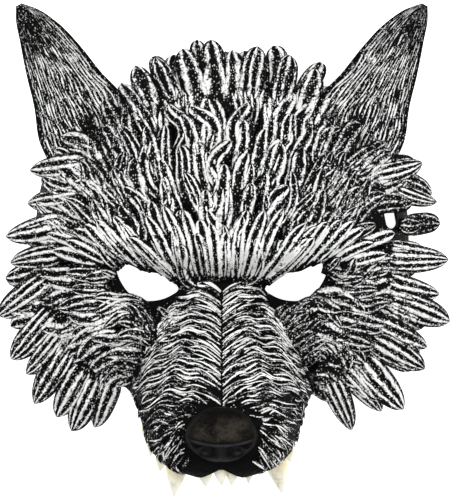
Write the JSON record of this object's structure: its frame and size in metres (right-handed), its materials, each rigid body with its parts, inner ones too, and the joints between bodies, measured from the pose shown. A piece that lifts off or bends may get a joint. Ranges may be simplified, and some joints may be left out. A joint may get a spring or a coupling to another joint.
{
  "type": "werewolf mask",
  "caption": "Hollow moulded half mask of a snarling wolf face with layered fur locks, pointed ears, a black nose, ivory teeth and open eye holes.",
  "frame": {"origin": "centre of the mask's outline from ear to ear and from the canines to the ear tips, on the plane that the back rim rests on", "axes": "+X across the face towards the ear on the viewer's right, +Y from the lips to the brow and the ear tips, +Z out of the face from the back rim to the nose"},
  "size_m": [0.2396, 0.2492, 0.1202],
  "materials": {
    "painted_fur": "moulded foam painted black in the grooves and dry-brushed white on the ridges, matt",
    "nose_black": "satin black with a fine leather grain",
    "tooth_ivory": "ivory paint, half gloss, darker near the lip"
  },
  "bodies": {
    "root": {"mask_shell": "painted_fur", "ear_left": "painted_fur", "ear_right": "painted_fur", "nose_pad": "nose_black", "canine_left": "tooth_ivory", "canine_right": "tooth_ivory", "incisor_1": "tooth_ivory", "incisor_2": "tooth_ivory", "incisor_3": "tooth_ivory", "incisor_4": "tooth_ivory", "side_tooth_left_1": "tooth_ivory", "side_tooth_left_2": "tooth_ivory", "side_tooth_left_3": "tooth_ivory", "side_tooth_right_1": "tooth_ivory"}
  },
  "joints": []
}
